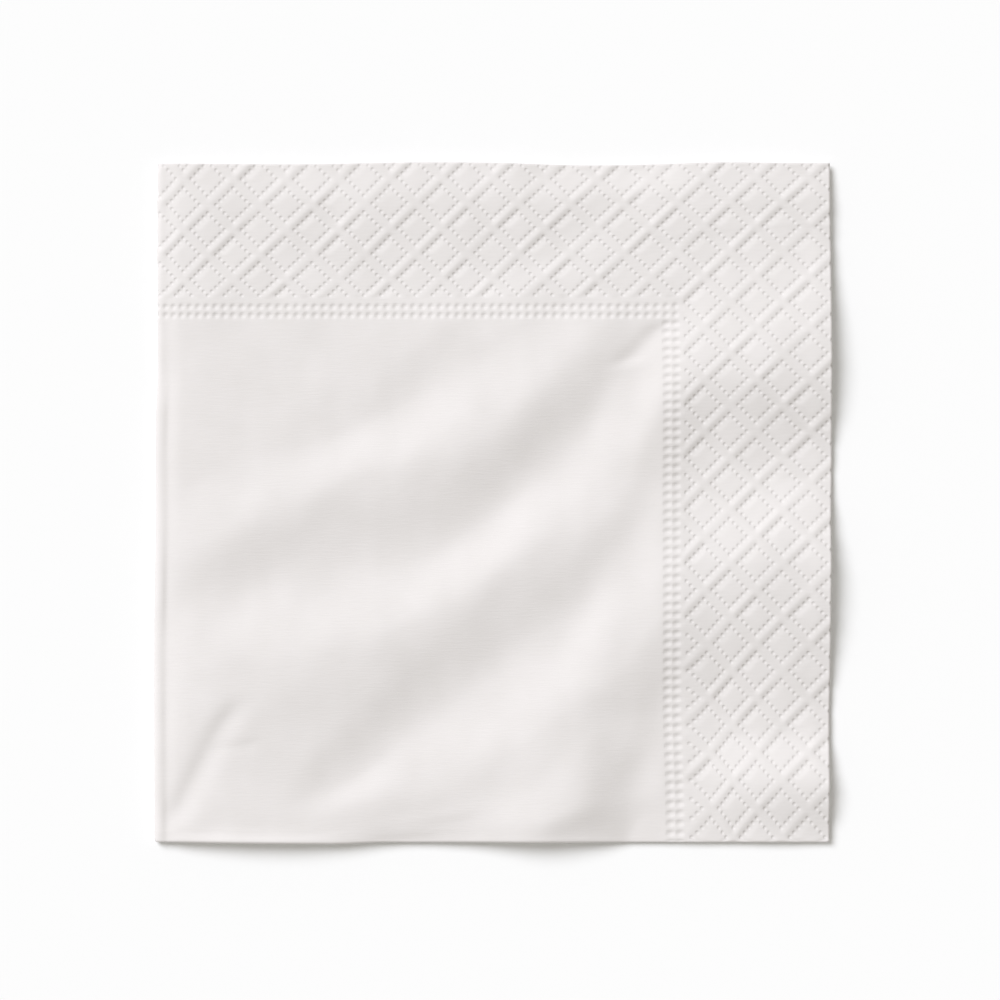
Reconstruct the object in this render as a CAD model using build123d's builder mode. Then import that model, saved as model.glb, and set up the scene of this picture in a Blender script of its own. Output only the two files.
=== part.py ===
from build123d import *
from math import atan, degrees, sqrt
import os

# A quarter-folded paper luncheon napkin: one square sheet of soft tissue, embossed round its rim
# with a wide band of diamonds and a double row of beads, folded in half and in half again.
# It lies with its two folds at the left and at the bottom, and its four cut edges at the right
# and at the top. +X runs to the right, +Y to the top edge and +Z up from the table.
# The origin is the middle of its outline, at the height of the table. All sizes are in mm.

# The folded sheet: the embossed rim is puffed thicker than the plain panel inside it
napkin_width = 165.0
napkin_depth = 166.5
border_sheet = 0.45
panel_sheet = 0.30
leaf_gap = 0.50
pair_gap = 0.50
leaf_step = 0.35

# The embossed border, measured in from the cut edges
top_band = 32.6
top_border = 39.0
right_band = 35.7
right_border = 42.0

# The flat strips that run along the two folds, beside the plain panel
left_strip = 2.7
bottom_strip = 2.2

# The diamonds: squares on their corners, each outlined by a pressed groove
diamond_side = 6.0
groove_width = 1.1
groove_depth = 0.25
column_step = 6.345
first_column = 0.6
row_pitch = 12.30
row_growth = 0.057
first_row = 9.5

# The beads: two rows of small pressed pits between the diamonds and the plain panel
bead_width = 1.5
bead_depth = 0.25
bead_pitch = 2.19
bead_row_gap = 2.1
top_bead_row = 35.3
right_bead_column = 38.2

# The billows of the plain panel, which the tissue takes as the folds are pressed
billow_height = 2.3
panel_bed = 0.5
flats_in_flank = 4

# Where the crests and troughs cross each station of the panel. The stations are shares of its
# width from the left, and the crests and troughs are shares of its depth from the top.
station_shares = (0, 0.05, 0.14, 0.26, 0.38, 0.50, 0.62, 0.74, 0.85, 0.94, 1)
track_shares = (
    (0.43, 0.415, 0.385, 0.35, 0.315, 0.28, 0.21, 0.13, 0.07, 0.05, 0.04),
    (0.555, 0.54, 0.515, 0.49, 0.465, 0.435, 0.37, 0.295, 0.21, 0.14, 0.10),
    (0.72, 0.71, 0.70, 0.685, 0.65, 0.59, 0.51, 0.44, 0.355, 0.265, 0.22),
    (0.86, 0.86, 0.855, 0.85, 0.83, 0.76, 0.68, 0.61, 0.525, 0.42, 0.36),
    (0.93, 0.93, 0.93, 0.93, 0.925, 0.89, 0.845, 0.79, 0.715, 0.625, 0.56),
    (0.965, 0.965, 0.965, 0.965, 0.965, 0.955, 0.94, 0.91, 0.86, 0.80, 0.76),
)

# How far each crest and trough stands above the border there, as shares of the billow height.
# The last row is the edge of the panel beside the bottom fold.
height_shares = (
    (0.02, 0.22, 0.52, 0.74, 0.87, 0.96, 1, 0.95, 0.70, 0.30, 0.02),
    (0, 0, -0.04, -0.09, -0.13, -0.13, -0.13, -0.13, -0.09, 0, 0),
    (0.02, 0.17, 0.43, 0.65, 0.80, 0.92, 1, 1, 0.91, 0.56, 0.02),
    (0, 0.13, 0.38, 0.54, 0.36, 0.04, -0.13, -0.13, -0.09, 0, 0),
    (0.02, 0.15, 0.42, 0.56, 0.62, 0.78, 0.91, 0.91, 0.83, 0.52, 0.02),
    (0, 0.11, 0.38, 0.40, 0.25, 0.10, 0.04, 0.22, 0.43, 0.13, 0),
    (0.01, 0, 0, 0, 0, 0, 0, 0, 0, 0, 0.01),
)

# Heights and places worked out from the sizes
hairpin_radius = border_sheet + leaf_gap / 2
pair_height = 2 * hairpin_radius
fold_radius = pair_height + pair_gap / 2
stack_height = 2 * fold_radius
right_edge = napkin_width / 2
left_edge = -right_edge
top_edge = napkin_depth / 2
bottom_edge = -top_edge
fold_axis_x = left_edge + fold_radius
hairpin_axis_y = bottom_edge + hairpin_radius
panel_left = left_edge + left_strip
panel_right = right_edge - right_border
panel_top = top_edge - top_border
panel_bottom = bottom_edge + bottom_strip
panel_level = stack_height - (border_sheet - panel_sheet) / 2


def bent_pair(x):
    """The section of two leaves joined by the bottom fold, round outside and pressed sharp inside."""
    middle = stack_height - hairpin_radius
    inner = hairpin_radius - border_sheet
    lower_end = top_edge - leaf_step
    top_turn = (hairpin_axis_y, middle + hairpin_radius)
    low_turn = (hairpin_axis_y, middle - hairpin_radius)
    with BuildSketch(Plane.YZ.offset(x)) as section:
        with BuildLine():
            Polyline(
                top_turn,
                (top_edge, middle + hairpin_radius),
                (top_edge, middle + inner),
                (hairpin_axis_y, middle + inner),
                (hairpin_axis_y - inner, middle),
                (hairpin_axis_y, middle - inner),
                (lower_end, middle - inner),
                (lower_end, middle - hairpin_radius),
                low_turn,
            )
            ThreePointArc(low_turn, (bottom_edge, middle), top_turn)
        make_face()
    return section.sketch


def wave_points(places, heights):
    """The points of a wavy line: level at each crest and trough, and steepest between them."""
    points = [(places[0], heights[0])]
    for flank in range(len(places) - 1):
        run = places[flank + 1] - places[flank]
        climb = heights[flank + 1] - heights[flank]
        for flat in range(1, flats_in_flank + 1):
            share = flat / flats_in_flank
            rise_share = share * share * (3 - 2 * share)
            points.append((places[flank] + run * share, heights[flank] + climb * rise_share))
    return points


def billow_section(station):
    """The section of the billowed panel at a station, from the top border to the bottom fold."""
    bed_left = panel_left - panel_bed
    bed_top = panel_top + panel_bed
    bed_width = panel_right + panel_bed - bed_left
    bed_depth = bed_top - (panel_bottom - panel_bed)
    places = [bed_top] + [bed_top - bed_depth * row[station] for row in track_shares]
    places.append(bed_top - bed_depth)
    heights = [panel_level] + [panel_level + billow_height * row[station] for row in height_shares]
    upper = wave_points(places, heights)
    lower = [(y, z - panel_sheet) for y, z in upper]
    with BuildSketch(Plane.YZ.offset(bed_left + bed_width * station_shares[station])) as section:
        with BuildLine():
            Polyline(*upper, *reversed(lower), close=True)
        make_face()
    return section.sketch


def row_depth(row):
    """How far a row of diamonds lies below the top edge: the rows spread a little as they go down."""
    return first_row + row_pitch * row + row_growth * row * row


def diamond_places():
    """The middle of each diamond of the two bands, in columns set half a row apart."""
    reach = diamond_side / sqrt(2) + groove_width
    places = []
    column = 0
    x = left_edge + first_column
    while x < right_edge + reach:
        row = -0.5 if column % 2 == 0 else 0
        while row_depth(row) < napkin_depth + reach:
            y = top_edge - row_depth(row)
            if y > top_edge - top_band - reach or x > right_edge - right_band - reach:
                places.append((x, y, stack_height))
            row += 1
        column += 1
        x = left_edge + first_column + column * column_step
    return places


def bead_places():
    """The middle of each bead, in two rows below the top band and two columns left of the right band."""
    places = []
    corner_x = right_edge - right_bead_column
    for line in range(2):
        y = top_edge - top_bead_row - line * bead_row_gap
        x = corner_x
        while x > fold_axis_x + bead_width:
            places.append((x, y, stack_height))
            x -= bead_pitch
    for line in range(2):
        x = corner_x - line * bead_row_gap
        y = top_edge - top_bead_row - 2 * bead_row_gap
        while y > hairpin_axis_y + bead_width:
            places.append((x, y, stack_height))
            y -= bead_pitch
    return places


# The mould of one groove: a four-sided ring with a V section, its open side level with the paper
with BuildPart() as groove_mould:
    slope = degrees(atan(groove_width / (2 * groove_depth)))
    with BuildSketch():
        Rectangle(diamond_side + groove_width, diamond_side + groove_width, rotation=45)
    extrude(amount=-groove_depth, taper=slope)
    with BuildSketch(Plane.XY.offset(-groove_depth)):
        Rectangle(diamond_side, diamond_side, rotation=45)
    extrude(amount=groove_depth, taper=slope, mode=Mode.SUBTRACT)

# All the grooves of the two bands, cut off where the bands end
with BuildPart() as diamond_grooves:
    with Locations(*diamond_places()):
        add(groove_mould.part)
    with BuildSketch(Plane.XY.offset(stack_height)) as bands:
        with BuildLine():
            Polyline(
                (fold_axis_x, top_edge),
                (right_edge, top_edge),
                (right_edge, hairpin_axis_y),
                (right_edge - right_band, hairpin_axis_y),
                (right_edge - right_band, top_edge - top_band),
                (fold_axis_x, top_edge - top_band),
                close=True,
            )
        make_face()
    extrude(amount=-border_sheet, mode=Mode.INTERSECT)

# The mould of one bead: a small four-sided pit
with BuildPart() as bead_mould:
    with BuildSketch() as bead_rim:
        Rectangle(bead_width, bead_width)
    loft([bead_rim.sketch.face(), Vertex(0, 0, -bead_depth)])

# The plain panel, a thinner sheet that billows between the border and the two folds
with BuildPart() as billows:
    loft([billow_section(station) for station in range(len(station_shares))])

# The napkin itself, one sheet: the bottom fold makes each pair of leaves, the left fold joins the
# upper pair to the lower one, and the panel and the emboss are worked into the top leaf
with BuildPart() as napkin:
    upper_pair = bent_pair(fold_axis_x)
    extrude(upper_pair, amount=right_edge - fold_axis_x)
    revolve(upper_pair, axis=Axis((fold_axis_x, 0, fold_radius), (0, -1, 0)), revolution_arc=180)
    lower_pair = mirror(upper_pair, about=Plane.XY.offset(fold_radius), mode=Mode.PRIVATE)
    extrude(lower_pair, amount=right_edge - leaf_step - fold_axis_x)
    with BuildSketch(Plane.XY.offset(stack_height)):
        with Locations(((panel_left + panel_right) / 2, (panel_bottom + panel_top) / 2)):
            Rectangle(panel_right - panel_left, panel_top - panel_bottom)
    extrude(amount=-border_sheet - leaf_gap / 2, mode=Mode.SUBTRACT)
    add(billows.part)
    add(diamond_grooves.part, mode=Mode.SUBTRACT)
    with Locations(*bead_places()):
        add(bead_mould.part, mode=Mode.SUBTRACT)

napkin.part.label = "napkin"
os.makedirs("parts", exist_ok=True)
export_step(napkin.part, "parts/napkin.step")
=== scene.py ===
import bpy
import numpy as np
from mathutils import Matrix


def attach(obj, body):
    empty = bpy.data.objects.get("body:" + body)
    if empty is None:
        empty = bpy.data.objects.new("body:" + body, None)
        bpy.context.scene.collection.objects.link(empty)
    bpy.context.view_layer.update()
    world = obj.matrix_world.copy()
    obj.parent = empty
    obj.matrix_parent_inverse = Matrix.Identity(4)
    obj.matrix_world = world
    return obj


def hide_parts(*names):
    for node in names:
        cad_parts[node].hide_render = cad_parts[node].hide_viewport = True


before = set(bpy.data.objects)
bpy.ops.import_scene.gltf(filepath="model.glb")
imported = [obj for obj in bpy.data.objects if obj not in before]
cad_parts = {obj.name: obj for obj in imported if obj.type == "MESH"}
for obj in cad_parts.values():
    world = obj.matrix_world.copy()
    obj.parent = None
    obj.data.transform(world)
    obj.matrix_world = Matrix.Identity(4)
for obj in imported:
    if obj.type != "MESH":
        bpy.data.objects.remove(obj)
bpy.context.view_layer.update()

# The napkin: one 33 cm square of soft two-ply tissue, folded in half along its bottom edge and in
# half again along its left edge. A steel roll pressed the diamonds and the beads into its rim
# before it was folded, so the pattern keeps step round both folds; here its relief is weaker past
# the left fold and lost round the bottom one.
MM = 0.001

# Lengths in this section are in mm, as on the folded outline, and the mesh is made in metres
width, depth = 165.0, 166.5
right_edge, top_edge = width / 2, depth / 2
left_edge, bottom_edge = -right_edge, -top_edge
sheet_thickness = 0.30

# The diamonds and ribs sit on a lattice of dots, and their places are counted in dots: a diamond
# is four a side and a rib two wide. The rows of diamonds lie farther apart toward the bottom.
dot_step = 1.0575
cell_dots, diamond_dots = 6, 4
first_column = left_edge + 0.65
first_row, row_pitch, row_growth = 9.65, 12.30, 0.057
band_right_of, band_above, band_fade = 121.6, 22.5, 0.5

# The beads are a square grid of their own, in two rows and two columns that meet at the corner of
# the plain panel. It is counted in dots too. Those of the columns are wider than they are high.
bead_pitch = 2.076
bead_corner_across, bead_corner_down = 119.72, 24.77
bead_radius_share, column_bead_share = 0.48, 0.65

# The open sheet is a grid of half dots, counted from its top right corner as folded. Across it
# run the top leaf, the left bend and the bottom leaf; down it run the top leaf, the bottom bend
# and the leaf below it.
halves = 2
leaf_cells, bend_cells = 308, 8
sheet_cells = 2 * leaf_cells + bend_cells
tangent_column, first_grid_row = 1, -19


def smooth(x, low, high):
    """Goes from 0 at low to 1 at high, level at both ends."""
    share = np.clip((x - low) / (high - low), 0, 1)
    return share * share * (3 - 2 * share)


def wavy(x, places, values):
    """A smooth curve through given values, level beyond the first and the last."""
    places, values = np.asarray(places, float), np.asarray(values, float)
    slopes = np.gradient(values, places)
    slopes[0] = slopes[-1] = 0
    x = np.clip(x, places[0], places[-1])
    k = np.clip(np.searchsorted(places, x) - 1, 0, len(places) - 2)
    run = places[k + 1] - places[k]
    t = (x - places[k]) / run
    from_values = values[k] * (2 * t**3 - 3 * t**2 + 1) + values[k + 1] * (3 * t**2 - 2 * t**3)
    return from_values + run * (slopes[k] * (t**3 - 2 * t**2 + t) + slopes[k + 1] * (t**3 - t**2))


# Where each column and each row of the grid lies on the folded outline. The outermost ones are
# eased so that the last of them lies on the cut edge.
right_ease, top_ease = 14, 6
column_x = first_column + (tangent_column + np.arange(leaf_cells + 1) / halves) * dot_step
column_x += (right_edge - column_x[-1]) * smooth(column_x, right_edge - right_ease, right_edge)
row_number = (np.arange(leaf_cells + 1) + first_grid_row) / (2 * cell_dots * halves)
row_y = top_edge - (first_row + row_pitch * row_number + row_growth * row_number**2)
row_y += (top_edge - row_y[0]) * smooth(row_y, top_edge - top_ease, top_edge)
left_bend_reach = column_x[0] - left_edge - sheet_thickness / 2
bottom_bend_reach = row_y[-1] - bottom_edge

# The waves of the top leaf are given by lines along their crests and troughs, from the cut top
# edge down to the bottom fold: how far up the napkin each lies at each station from the left
stations = (-81, -74, -63, -48, -34, -20, -5, 9, 22, 33, 41, 49, 65, 83)
line_places = (
    (83,) * len(stations),
    (75,) * len(stations),
    (67, 67, 65, 60, 57, 56, 57, 58, 65, 69, 70, 70, 69, 69),
    (66, 65, 60, 42, 32, 38, 45, 51, 61, 65, 66, 66, 68, 68),
    (3, 5, 12, 14, 19, 26, 36, 44, 52, 58, 61, 63, 66, 67),
    (-11, -10, -6, 0, 6, 9, 15, 26, 37, 47, 52, 57, 65, 66),
    (-23, -23, -22, -18, -15, -14, -6, 5, 16, 34, 44, 52, 62, 65),
    (-46, -43, -40, -39, -36, -30, -22, -12, -6, 4, 23, 31, 33, 35),
    (-73, -73, -73, -72, -67, -56, -46, -35, -26, -13, 5, 9, 9, 7),
    (-79, -79, -79, -79, -74, -72, -66, -59, -48, -37, -27, -20, -16, -18),
    (-81, -81, -81, -81, -80, -78, -75, -68, -57, -54, -54, -55, -56, -55),
    (-82, -82, -82, -82, -81, -80, -78, -79, -74, -72, -69, -68, -70, -70),
    (-83,) * len(stations),
)
# How high the sheet stands over its usual level on each line, at the same stations
line_heights = (
    (-0.5, -0.2, -0.3, -0.6, -0.5, -0.2, -0.2, -0.2, -1, -1.3, -1.2, -0.4, -0.3, -1),
    (-0.3, 0, 0.1, 0.2, 0.2, 0.3, 0.3, 0.3, 0.1, 0, 0.1, 0, 0.1, -0.2),
    (-0.3, 0, 0, -0.2, -0.3, -0.4, -0.4, -0.3, -0.1, 0.2, 0.25, 0.2, -0.1, -0.3),
    (-0.3, 0, 0, 0.2, 0.5, 0.4, 0.3, 0.2, 0, 0.2, 0.25, 0.2, -0.1, -0.3),
    (-0.3, 0, 0.1, 0.3, 0.1, -0.1, 0.3, 0.4, 0.2, 0.1, 0.1, 0.1, -0.2, -0.4),
    (-0.3, 0.6, 1.4, 1.9, 2.2, 2.4, 2.4, 2.3, 1.3, 0.4, 0.2, 0.1, -0.2, -0.4),
    (-0.3, 0, -0.3, -0.3, -0.3, -0.2, -0.3, -0.4, -0.2, 0.1, 0.2, 0.2, -0.2, -0.4),
    (-0.3, 1.4, 2.1, 2.4, 2.5, 2.4, 2.3, 2.2, 1.9, 1.6, 1.7, 2, 2.6, 2.4),
    (-0.3, 0.2, 0.7, 0.3, -0.6, -1, -0.7, -0.4, -0.1, 1, 1.2, -0.3, -1.4, -1.4),
    (-0.3, 0.2, 0.7, 0.7, 0.4, 0.4, 1.1, 1.9, 2.2, 1.9, 2.6, 2.6, 2.8, 2.4),
    (-0.3, 0.2, 0.9, 0.9, 0.2, 0, 0.6, 1.9, 1.9, 0.4, -0.7, -1.3, -1.4, -1.4),
    (-0.4, 0.4, 1.2, 1.2, 0.2, -0.3, 0.3, 2.5, 2.5, -1, -0.8, -0.7, 0.9, 1.2),
    (-0.4, 0.6, 1.6, 1.6, 0.2, -0.9, 0, 2.2, 0.9, -1.4, -1.4, -1.2, -0.9, -1.1),
)
usual_level, lowest_level = 2.8, 1.4
# Lines that meet count as this far apart
narrowest_gap = 0.01


def waves(x, y):
    """How high the waves stand over the usual level."""
    places = [wavy(x, stations, line) for line in line_places]
    heights = [wavy(x, stations, line) for line in line_heights]
    result = np.where(y > places[0], heights[0], heights[-1])
    for k in range(len(places) - 1):
        gap = np.maximum(places[k] - places[k + 1], narrowest_gap)
        t = np.clip((places[k] - y) / gap, 0, 1)
        between = (y <= places[k]) & (y >= places[k + 1])
        rise = heights[k] + (heights[k + 1] - heights[k]) * t * t * (3 - 2 * t)
        result = np.where(between, rise, result)
    return result


# The small uneven waves of a soft sheet: ripples of chance direction and length
ripple_count, shortest_ripple, longest_ripple, ripple_steepness = 40, 7, 22, 0.0009
chance = np.random.default_rng(7).uniform
ripples = [
    (chance(0, 2 * np.pi), chance(0, 2 * np.pi), chance(shortest_ripple, longest_ripple))
    for _ in range(ripple_count)
]


def rippling(x, y):
    """How high the ripples stand."""
    total = np.zeros_like(x)
    for direction, phase, length in ripples:
        along = x * np.cos(direction) + y * np.sin(direction)
        total += length * np.sin(2 * np.pi * along / length + phase)
    return total * ripple_steepness


# The creases of the top leaf, and last a low ridge, whose depth is less than none. Each runs along
# x or along y. Its line is given beside places along it, with how far it reaches to the lower and
# to the higher side of that line, its depth, and the length that it takes to fade in and out.
creases = (
    dict(
        along_x=False, places=(32, 36, 40, 45.5), line=(30.5, 34.2, 38, 42),
        lower_reach=3.2, higher_reach=3.6, deepest=0.5, fade=4,
    ),
    dict(
        along_x=False, places=(-82, -77, -71, -63, -57, -51, -46),
        line=(-79, -77, -74.3, -70.3, -67.2, -63.8, -61),
        lower_reach=3.0, higher_reach=3.6, deepest=0.65, fade=8,
    ),
    dict(
        along_x=True, places=(-70, -66, -61, -56), line=(-60.8, -60.4, -59.6, -59),
        lower_reach=2.0, higher_reach=1.4, deepest=0.16, fade=4,
    ),
    dict(
        along_x=False, places=(-88, -78, -66, -54), line=(29.6, 30, 31, 31.8),
        lower_reach=3.6, higher_reach=3.4, deepest=-0.2, fade=8,
    ),
)


def crease_depth(x, y, along_x, places, line, lower_reach, higher_reach, deepest, fade):
    """How deep one crease is."""
    along, beside = (x, y) if along_x else (y, x)
    away = beside - wavy(along, places, line)
    reach = np.where(away > 0, higher_reach, lower_reach)
    ends = smooth(along, places[0], places[0] + fade) * (1 - smooth(along, places[-1] - fade, places[-1]))
    return deepest * ends * np.exp(-((away / reach) ** 2))


# The sheet slopes down to the left bend, with a lip beside it, and droops at its right edge. The
# slope and the lip are given at places up the napkin.
left_slope = (-8, 6, 36, 50), (0.45, 0.75, 0.75, 0.4)
left_lip = (-80, -66, -51, -36, -22, -7, 8, 22, 32), (0.3, 0.3, 0.4, 0.3, 0.5, 0.3, 0.3, 0.42, 0)
slope_foot, slope_head, lip_width = 1.2, 6, 1.5
right_droop, droop_width = 0.12, 4


def top_height(x, y):
    """How high the middle of the top leaf's thickness is over the table."""
    height = usual_level + waves(x, y) + rippling(x, y)
    height -= wavy(y, *left_slope) * (1 - smooth(x, left_edge + slope_foot, left_edge + slope_head))
    height += wavy(y, *left_lip) * (1 - smooth(x, column_x[0], column_x[0] + lip_width))
    height -= right_droop * smooth(x, right_edge - droop_width, right_edge)
    for crease in creases:
        height -= crease_depth(x, y, **crease)
    return np.maximum(height, lowest_level)


# How far each edge strays to the right or up from straight: places along it, the stray at each,
# and how far into the sheet it is felt
top_stray = (-81, -44, -19, -1, 24, 42, 54, 73), (-0.2, -0.33, 0.08, 0.02, -0.6, -0.28, 0.08, -0.05), 40
right_stray = (
    (-82, -60, -40, -30, -15, -5, 5, 20, 45, 62, 75),
    (-0.45, -0.45, -0.2, 0, 0.2, 0.2, 0.45, 0.4, 0.3, 0.2, 0),
    30,
)
left_stray = (-82, -22, -5, 22, 32), (-0.85, -0.8, -0.5, -0.45, 0), 30
bottom_stray = (-82, -66, -50, -38, -28), (-0.1, -0.3, -0.45, -0.5, -0.15), 20


def edge_stray(along, inward, places, strays, felt_to):
    """How far the sheet strays beside one edge, at places along it and inward from it."""
    return wavy(along, places, strays) * (1 - smooth(inward, 0, felt_to))


# How far the soft sheet is drawn aside, with the pattern on it: to the left along the top border,
# to the right about the foot of the bead columns and low in the right border, down at the top left
# and up in the right border. A rise is where each begins and is full, and a fall is where it
# begins to fade and is gone.
top_draw = (-82, -75, -36, -6, 9, 19, 32, 45, 60), (-0.1, -0.7, -0.75, -0.9, -1.15, -1.05, -0.7, -0.2, 0)
top_draw_rise = 32, 48
column_draw, column_draw_middle, column_draw_width = 0.9, 46, 14
column_draw_fall = -80, -45
right_draw, right_draw_fall = ((45, 48, 60, 74), (0, 0.8, 0.5, 0.3)), (-45, -20)
corner_drop, corner_drop_fall, corner_drop_rise, corner_drop_end = 0.5, (-60, 30), (45, 60), 76
right_lift, right_lift_rise, right_lift_fall, right_lift_foot = 0.3, (35, 50), (62, 78), 8


def sheet_draw(x, y):
    """How far the sheet is drawn to the right and up."""
    sideways = wavy(x, *top_draw) * smooth(y, *top_draw_rise)
    from_columns = (x - column_draw_middle) / column_draw_width
    sideways += column_draw * np.exp(-(from_columns**2)) * (1 - smooth(y, *column_draw_fall))
    sideways += wavy(x, *right_draw) * (1 - smooth(y, *right_draw_fall))
    at_corner = (1 - smooth(x, *corner_drop_fall)) * smooth(y, *corner_drop_rise)
    upward = -corner_drop * at_corner * (1 - smooth(y, corner_drop_end, top_edge))
    at_right = smooth(x, *right_lift_rise) * (1 - smooth(y, *right_lift_fall))
    upward += right_lift * at_right * smooth(y, bottom_edge, bottom_edge + right_lift_foot)
    return sideways, upward


# How high a rib stands, how deep and wide a dot is, and how near the ring round a diamond it lies.
# Grooves run beside each rib: their depth is given at places past its crest, in dots. The roll
# pressed unevenly, so ribs and grooves are from half to 1.4 times their usual height.
rib_height, dot_depth, dot_radius, near_ring = 0.10, 0.08, 0.36, 0.4
groove_section = (-1.6, -0.85, 0, 1.35, 2.1), (0, -0.07, 0, -0.16, 0)
unevenness, weakest, strongest = 5, -0.5, 0.4


def relief(across, down):
    """How far the diamonds and ribs stand off the sheet, at dots across and down the lattice."""
    a = np.mod((across + down) / 2 - 1, cell_dots)
    b = np.mod((across - down) / 2 - 1, cell_dots)
    ribs_off, grooves, from_middle = [], [], []
    for place in (a, b):
        past_crest = np.mod(place + 1 + cell_dots / 2, cell_dots) - cell_dots / 2
        ribs_off.append(1 - smooth(1 - np.abs(past_crest), 0, 1))
        grooves.append(wavy(past_crest, *groove_section))
        from_middle.append(np.abs(np.mod(place + 1, cell_dots) - cell_dots / 2))
    ribs = rib_height * (1 - ribs_off[0] * ribs_off[1])
    pressed = np.minimum(grooves[0] * ribs_off[1], grooves[1] * ribs_off[0])
    evenness = 1 + np.clip(unevenness * rippling(down * dot_step, across * dot_step), weakest, strongest)
    on_ring = np.abs(np.maximum(*from_middle) - diamond_dots / 2) < near_ring
    to_dot = np.hypot(a - np.round(a), b - np.round(b))
    dots = np.clip(1 - to_dot / dot_radius, 0, 1) * on_ring
    return (ribs + pressed) * evenness - dot_depth * dots


# How deep a bead is pressed, and the two rows of them, from half a bead before the first to half a
# bead past the second
bead_depth = 0.22
beads_from, beads_to = -0.5, 1.5


def bead_relief(across, down):
    """The double row of beads: small pits that turn the corner of the plain panel."""
    beads_left = (bead_corner_across - across) / bead_pitch
    beads_down = (down - bead_corner_down) / bead_pitch
    squeeze = np.where(beads_down > beads_to, column_bead_share, 1.0)
    away = np.hypot(squeeze * (beads_left - np.round(beads_left)), beads_down - np.round(beads_down))
    in_row = (beads_down > beads_from) & (beads_down < beads_to) & (beads_left > beads_from)
    in_column = (beads_left > beads_from) & (beads_left < beads_to) & (beads_down > beads_from)
    pit = 1 + np.cos(np.pi * np.clip(away / bead_radius_share, 0, 1))
    return -bead_depth / 2 * pit * (in_row | in_column)


# The three leaves below the top one: how high each lies, and its share of the top leaf's waves.
# Their cut edges stop short of the top leaf's, by more across from the fold that they went round
# than beside it.
lower_leaves = (1.06, 0.55), (0.70, 0.25), (0.34, 0.03)
setback_across, setback_beside, setback_reach = 0.5, 0.3, 30
# The relief is lost round the bottom bend and weaker past the left one, between these turns in
# radians
weaker_share, left_bend_fade, bottom_bend_fade = 0.4, (0.8, 2.4), (0.2, 1.4)


def folded_sheet():
    """The middle surface of the folded sheet, how far its face stands off it, and its lattice."""
    count = np.arange(sheet_cells + 1)
    past_bend = np.maximum(count - leaf_cells - bend_cells, 0)
    column = np.where(count <= leaf_cells, leaf_cells - count, past_bend)
    row = np.where(count <= leaf_cells, count, np.minimum(sheet_cells - count, leaf_cells))
    turn = np.clip(count - leaf_cells, 0, bend_cells) * np.pi / bend_cells
    flat_x, flat_y = np.meshgrid(column_x[column], row_y[row])
    left_turn, bottom_turn = np.meshgrid(turn, turn)

    top = top_height(flat_x, flat_y)
    second, third, bottom = [level + share * (top - lowest_level) for level, share in lower_leaves]
    upper = (top + second) / 2 + (top - second) / 2 * np.cos(bottom_turn)
    lower = (bottom + third) / 2 + (bottom - third) / 2 * np.cos(bottom_turn)
    z = (upper + lower) / 2 + (upper - lower) / 2 * np.cos(left_turn)

    left_under, bottom_under = (1 - np.cos(left_turn)) / 2, (1 - np.cos(bottom_turn)) / 2
    x_setback = setback_across * left_under + setback_beside * bottom_under
    y_setback = setback_beside * left_under + setback_across * bottom_under
    x = flat_x - x_setback * smooth(flat_x, right_edge - setback_reach, right_edge)
    y = flat_y - y_setback * smooth(flat_y, top_edge - setback_reach, top_edge)
    y += edge_stray(flat_x, top_edge - flat_y, *top_stray)
    x += edge_stray(flat_y, right_edge - flat_x, *right_stray)
    x += edge_stray(flat_y, flat_x - left_edge, *left_stray)
    y += edge_stray(flat_x, flat_y - bottom_edge, *bottom_stray)
    sideways, upward = sheet_draw(flat_x, flat_y)
    x += sideways - left_bend_reach * (upper - lower) / (top - bottom) * np.sin(left_turn)
    y += upward - bottom_bend_reach * np.sin(bottom_turn)

    past_tangent = np.abs(count - leaf_cells - bend_cells / 2) - bend_cells / 2
    across, down = np.meshgrid(
        tangent_column + past_tangent / halves,
        (leaf_cells - past_tangent + first_grid_row) / halves,
    )
    right_band = smooth(across, band_right_of - band_fade, band_right_of)
    top_band = smooth(-down, -band_above, band_fade - band_above)
    face = relief(across, down) * np.maximum(right_band, top_band) + bead_relief(across, down)
    face *= 1 - weaker_share * smooth(left_turn, *left_bend_fade)
    face *= 1 - smooth(bottom_turn, *bottom_bend_fade)
    return np.stack([x, y, z], axis=-1), face, across, down


middle, face, across, down = folded_sheet()
normal = np.cross(np.gradient(middle, axis=1), np.gradient(middle, axis=0))
normal /= np.linalg.norm(normal, axis=-1, keepdims=True)
outer_skin = middle + normal * (sheet_thickness / 2 + face[..., None])
inner_skin = middle - normal * (sheet_thickness / 2)
skins = np.stack([outer_skin, inner_skin])
skins[..., 2] -= skins[..., 2].min()

# The grid is cut into blocks of eight by eight half dots. A block has cells of a half dot where the
# relief, a bend or a crease is, and larger ones where the sheet is plain or can't be seen.
outside, inside = 0, 1
half_dot, one_dot, two_dots, four_dots = 1, 2, 4, 8
block = 8
blocks = sheet_cells // block
border_blocks = 10
bend_blocks = leaf_cells // block, leaf_cells // block + 1
top_crease_blocks = np.s_[8:13, 9:13]
bottom_crease_blocks = np.s_[31:38, 33:38]
creased = np.zeros((blocks, blocks), bool)
creased[top_crease_blocks] = creased[bottom_crease_blocks] = True


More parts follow.
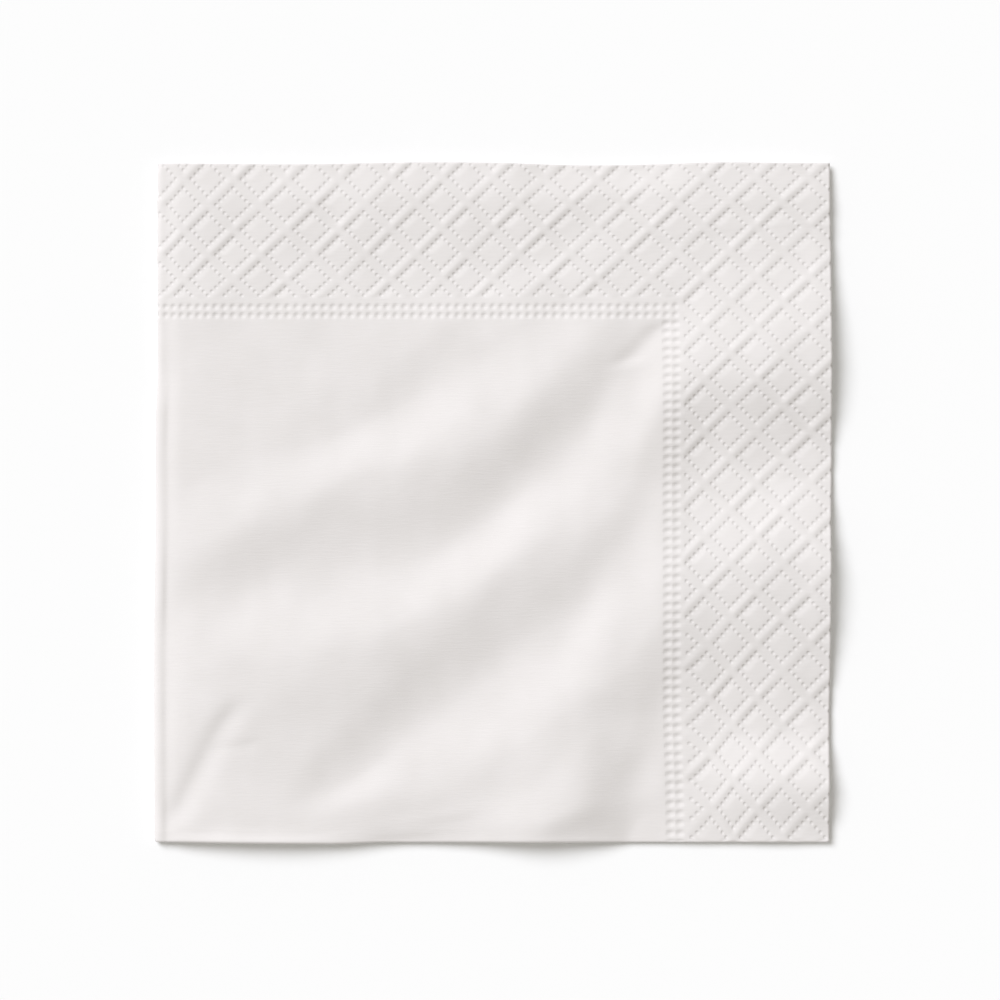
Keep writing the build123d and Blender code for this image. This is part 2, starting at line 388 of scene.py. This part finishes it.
def cell_size(skin, down_block, across_block):
    """How many half dots a cell of this block has down and across."""
    on_bottom_bend, on_left_bend = down_block in bend_blocks, across_block in bend_blocks
    below, under = down_block >= bend_blocks[1], across_block >= bend_blocks[1]
    from_cut_edges = min(down_block, across_block, blocks - 1 - across_block)
    if skin == inside and not (under or below):
        plain = one_dot if creased[down_block, across_block] or down_block == 0 else two_dots
        return plain, plain
    if skin == inside or (below and not on_bottom_bend):
        return (one_dot if on_bottom_bend else four_dots), (one_dot if on_left_bend else four_dots)
    if from_cut_edges < border_blocks:
        plain = one_dot if under and not on_left_bend else half_dot
        return (half_dot if on_bottom_bend else plain), plain
    plain = two_dots if under else half_dot if creased[down_block, across_block] else one_dot
    return (half_dot if on_bottom_bend else plain), (half_dot if on_left_bend else plain)


cells = []
used = np.zeros((2, sheet_cells + 1, sheet_cells + 1), bool)
used[:, [0, -1], :] = used[:, :, [0, -1]] = True
for skin, down_block, across_block in np.ndindex(2, blocks, blocks):
    high, wide = cell_size(skin, down_block, across_block)
    first_j, first_i = down_block * block, across_block * block
    last_j, last_i = first_j + block, first_i + block
    used[skin, first_j : last_j + 1 : high, first_i : last_i + 1 : wide] = True
    for j in range(first_j, last_j, high):
        cells += [(skin, i, j, wide, high) for i in range(first_i, last_i, wide)]

vertex_number = np.cumsum(used).reshape(used.shape) - 1


def cell_corners(skin, i, j, wide, high):
    """The vertices round one cell, with each that its neighbours have on its sides."""
    sides = [(j, k) for k in range(i, i + wide)]
    sides += [(k, i + wide) for k in range(j, j + high)]
    sides += [(j + high, k) for k in range(i + wide, i, -1)]
    sides += [(k, i) for k in range(j + high, j, -1)]
    corners = [int(vertex_number[skin, row, column]) for row, column in sides if used[skin, row, column]]
    return corners if skin == outside else corners[::-1]


faces = [cell_corners(*cell) for cell in cells]

# The cut rim of the open sheet joins the two skins all round
outer, inner = vertex_number.tolist()
for k in range(sheet_cells):
    for end, (a, b) in ((0, (k, k + 1)), (sheet_cells, (k + 1, k))):
        faces.append((outer[a][end], outer[b][end], inner[b][end], inner[a][end]))
        faces.append((outer[end][b], outer[end][a], inner[end][a], inner[end][b]))

mesh = bpy.data.meshes.new("napkin_sheet")
mesh.from_pydata((skins[used] * MM).tolist(), [], faces)
mesh.polygons.foreach_set("use_smooth", np.arange(len(faces)) < len(cells))
lattice = np.stack([across, down], axis=-1)
lattice = np.stack([lattice, lattice])[used]
corner_vertices = np.empty(len(mesh.loops), np.int32)
mesh.loops.foreach_get("vertex_index", corner_vertices)
mesh.uv_layers.new(name="lattice").data.foreach_set("uv", lattice[corner_vertices].ravel())
mesh.update()
napkin = bpy.data.objects.new("napkin_sheet", mesh)
bpy.context.collection.objects.link(napkin)


def linear(hex_colour):
    """An sRGB hex colour as the linear colour that a shader takes."""
    parts = [int(hex_colour[k : k + 2], 16) / 255 for k in (1, 3, 5)]
    return (*[p / 12.92 if p <= 0.04045 else ((p + 0.055) / 1.055) ** 2.4 for p in parts], 1)


def add_node(tree, kind, settings, *values, **inputs):
    """Adds one shader node, with its settings and its inputs: each a value or another node."""
    made = tree.nodes.new(kind)
    for name, value in settings.items():
        setattr(made, name, value)
    sockets = {socket.identifier.replace(" ", "_"): socket for socket in made.inputs}
    named = [(sockets[name], value) for name, value in inputs.items()]
    for socket, value in [*zip(made.inputs, values), *named]:
        if isinstance(value, bpy.types.Node):
            value = value.outputs[0]
        if isinstance(value, bpy.types.NodeSocket):
            tree.links.new(value, socket)
        else:
            socket.default_value = value
    return made


# The pits are too steep for the mesh alone, so bump adds to them: a dot's pit has a floor and a
# rim, in dots from its middle. The rows past the last one lie on the bottom bend and have none.
dot_floor, dot_rim = 0.05, 0.42
last_pressed = 144.3


def pressed_pits(tree):
    """How deep the dots and the beads are pressed, from 0 on the sheet to 1 at the bottom of a pit."""
    maths, vectors, ranges = "ShaderNodeMath", "ShaderNodeVectorMath", "ShaderNodeMapRange"
    lattice = add_node(tree, "ShaderNodeUVMap", {"uv_map": "lattice"})
    counts = add_node(tree, "ShaderNodeSeparateXYZ", {}, lattice)
    across, down = counts.outputs["X"], counts.outputs["Y"]

    # The dots stand round each diamond, two dots away from its middle
    half_cell, shrink = cell_dots / 2, 0.5**0.5
    turned = add_node(
        tree, "ShaderNodeMapping", {}, lattice,
        Location=(-half_cell, half_cell, 0), Rotation=(0, 0, -np.pi / 4), Scale=(shrink, shrink, 0),
    )
    from_middle = add_node(tree, vectors, {"operation": "WRAP"}, turned, (half_cell,) * 3, (-half_cell,) * 3)
    to_dot = add_node(tree, vectors, {"operation": "WRAP"}, from_middle, (0.5,) * 3, (-0.5,) * 3)
    dot_away = add_node(tree, vectors, {"operation": "LENGTH"}, to_dot)
    distances = add_node(tree, vectors, {"operation": "ABSOLUTE"}, from_middle)
    distance = add_node(tree, "ShaderNodeSeparateXYZ", {}, distances).outputs
    ring = add_node(tree, maths, {"operation": "MAXIMUM"}, distance["X"], distance["Y"])
    on_ring = add_node(tree, maths, {"operation": "COMPARE"}, ring, diamond_dots / 2, 0.5)
    in_right_band = add_node(tree, maths, {"operation": "GREATER_THAN"}, across, band_right_of)
    in_top_band = add_node(tree, maths, {"operation": "LESS_THAN"}, down, band_above)
    in_band = add_node(tree, maths, {"operation": "MAXIMUM"}, in_right_band, in_top_band)
    dot_pit = add_node(
        tree, ranges, {"interpolation_type": "SMOOTHSTEP"},
        dot_away.outputs["Value"], dot_floor, dot_rim, 1, 0,
    )
    dots = add_node(tree, maths, {"operation": "MULTIPLY"}, dot_pit, on_ring)
    dots = add_node(tree, maths, {"operation": "MULTIPLY"}, dots, in_band)

    # The beads fill two rows and two columns that meet at the corner of the plain panel
    from_corner = add_node(
        tree, "ShaderNodeMapping", {"vector_type": "TEXTURE"}, lattice,
        Location=(bead_corner_across, bead_corner_down, 0), Scale=(bead_pitch, bead_pitch, 1),
    )
    to_bead = add_node(tree, vectors, {"operation": "WRAP"}, from_corner, (0.5,) * 3, (-0.5,) * 3)
    bead_counts = add_node(tree, "ShaderNodeSeparateXYZ", {}, from_corner)
    beads_right, beads_down = bead_counts.outputs["X"], bead_counts.outputs["Y"]
    below_rows = add_node(tree, maths, {"operation": "GREATER_THAN"}, beads_down, beads_to)
    share = add_node(tree, maths, {"operation": "MULTIPLY_ADD"}, below_rows, column_bead_share - 1, 1)
    squeeze = add_node(tree, "ShaderNodeCombineXYZ", {}, share, 1, 0)
    squeezed = add_node(tree, vectors, {"operation": "MULTIPLY"}, to_bead, squeeze)
    bead_away = add_node(tree, vectors, {"operation": "LENGTH"}, squeezed)
    between_rows, half_rows = (beads_from + beads_to) / 2, (beads_to - beads_from) / 2
    near_row = add_node(tree, maths, {"operation": "COMPARE"}, beads_down, between_rows, half_rows)
    near_column = add_node(tree, maths, {"operation": "COMPARE"}, beads_right, -between_rows, half_rows)
    not_right = add_node(tree, maths, {"operation": "LESS_THAN"}, beads_right, -beads_from)
    not_above = add_node(tree, maths, {"operation": "GREATER_THAN"}, beads_down, beads_from)
    in_rows = add_node(tree, maths, {"operation": "MULTIPLY"}, near_row, not_right)
    in_columns = add_node(tree, maths, {"operation": "MULTIPLY"}, near_column, not_above)
    in_beads = add_node(tree, maths, {"operation": "MAXIMUM"}, in_rows, in_columns)
    bead_pit = add_node(
        tree, ranges, {"interpolation_type": "SMOOTHSTEP"},
        bead_away.outputs["Value"], 0, bead_radius_share, 1, 0,
    )
    pits = add_node(tree, maths, {"operation": "MULTIPLY_ADD"}, bead_pit, in_beads, dots)
    before_end = add_node(tree, maths, {"operation": "LESS_THAN"}, down, last_pressed)
    return add_node(tree, maths, {"operation": "MULTIPLY"}, pits, before_end)


def creped_tissue():
    """Two-ply tissue, creped off a drying roll: matt, warm white, with fine lines across it and painted
    shade mottled into its colour.
    """
    # Crepe lines run across the sheet, 22 in 10 mm, and are broken every few millimetres
    crepe_spacing, crepe_length = 10 * MM / 22, 4 * MM
    # Fibres are some 20 microns wide and drawn 0.3 mm coarse, because finer ones wouldn't show
    fibre_size = 10 * MM / 33
    # The two plies part a little here and there, three times in 25 mm; the shade that this gives is painted
    # into the colour, as a mottle between two tones
    ply_shade_spacing = 25 * MM / 3
    pit_depth, crepe_depth, fibre_share = 0.14 * MM, 0.12 * MM, 0.6

    material = bpy.data.materials.new("creped_two_ply_tissue")
    material.use_nodes = True
    tree = material.node_tree
    tree.nodes.clear()
    place = add_node(tree, "ShaderNodeTexCoord", {}).outputs["Object"]
    noise = "ShaderNodeTexNoise"
    crepe_scale = (1 / crepe_length, 1 / crepe_spacing, 1 / crepe_length)
    stretched = add_node(tree, "ShaderNodeMapping", {}, place, Scale=crepe_scale)
    crepe = add_node(tree, noise, {}, stretched, Scale=1.0, Detail=2.0, Roughness=0.6)
    fibres = add_node(tree, noise, {}, place, Scale=1 / fibre_size, Detail=3.0, Roughness=0.7)
    painted_ply_shade = add_node(tree, noise, {}, place, Scale=1 / ply_shade_spacing, Detail=2.0, Roughness=0.5)
    rough = add_node(tree, "ShaderNodeMath", {"operation": "MULTIPLY_ADD"}, fibres, fibre_share, crepe)
    # Painted shade: the colour mottles between a darker and a lighter tone where the two plies part
    tint_and_ply_shade = add_node(
        tree, "ShaderNodeMix", {"data_type": "RGBA"}, painted_ply_shade,
        A_Color=linear("#e2dedc"), B_Color=linear("#e8e4e3"),
    )
    pits = add_node(
        tree, "ShaderNodeBump", {"invert": True},
        Strength=1, Distance=pit_depth, Height=pressed_pits(tree),
    )
    bump = add_node(
        tree, "ShaderNodeBump", {},
        Strength=0.35, Distance=crepe_depth, Height=rough, Normal=pits,
    )
    surface = add_node(
        tree, "ShaderNodeBsdfPrincipled", {},
        Base_Color=tint_and_ply_shade.outputs[2], Roughness=0.92, IOR=1.5, Specular_IOR_Level=0.25,
        Sheen_Weight=0.05, Sheen_Roughness=0.5, Normal=bump,
    )
    add_node(tree, "ShaderNodeOutputMaterial", {}, surface)
    return material


mesh.materials.append(creped_tissue())
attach(napkin, "root")
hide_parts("napkin")

# The floor: a wide sheet of matt white backing paper, as a product is photographed on. It is plain,
# smooth paper off a roll, laid flat.
floor_size = 6
bpy.ops.mesh.primitive_plane_add(size=floor_size, location=(0, 0, 0))
floor = bpy.context.object
floor.name = "backing_paper"
paper = bpy.data.materials.new("matt_white_backing_paper")
paper.use_nodes = True
paper_surface = paper.node_tree.nodes["Principled BSDF"]
paper_surface.inputs["Base Color"].default_value = linear("#f9f9f9")
paper_surface.inputs["Roughness"].default_value = 0.95
paper_surface.inputs["Specular IOR Level"].default_value = 0.1
floor.data.materials.append(paper)

# The light: one broad soft source from the upper left at half height, a little cool, and an even
# fill all round, a little warm, which together are neutral on the floor.
key_light = bpy.data.lights.new("softbox", "SUN")
key_light.energy = 2.74
key_light.color = (0.935, 0.95, 1.0)
key_light.angle = 0.65
softbox = bpy.data.objects.new("softbox", key_light)
softbox.rotation_euler = (0, np.radians(45), np.radians(135))
bpy.context.collection.objects.link(softbox)
studio = bpy.data.worlds.new("studio")
studio.use_nodes = True
fill = studio.node_tree.nodes["Background"]
fill.inputs["Color"].default_value = (1, 0.98, 0.912, 1)
fill.inputs["Strength"].default_value = 0.459
bpy.context.scene.world = studio
bpy.context.scene.view_settings.view_transform = "Standard"

# The camera: straight above the napkin, a little off its middle, and far enough for its sides not
# to show.
camera_height = 1.2
camera_right, camera_up = 1.5 * MM, 0.5 * MM
lens = bpy.data.cameras.new("camera")
lens.sensor_width, lens.lens = 36, 175.7
camera = bpy.data.objects.new("camera", lens)
camera.location = (camera_right, camera_up, camera_height)
bpy.context.collection.objects.link(camera)
bpy.context.scene.camera = camera
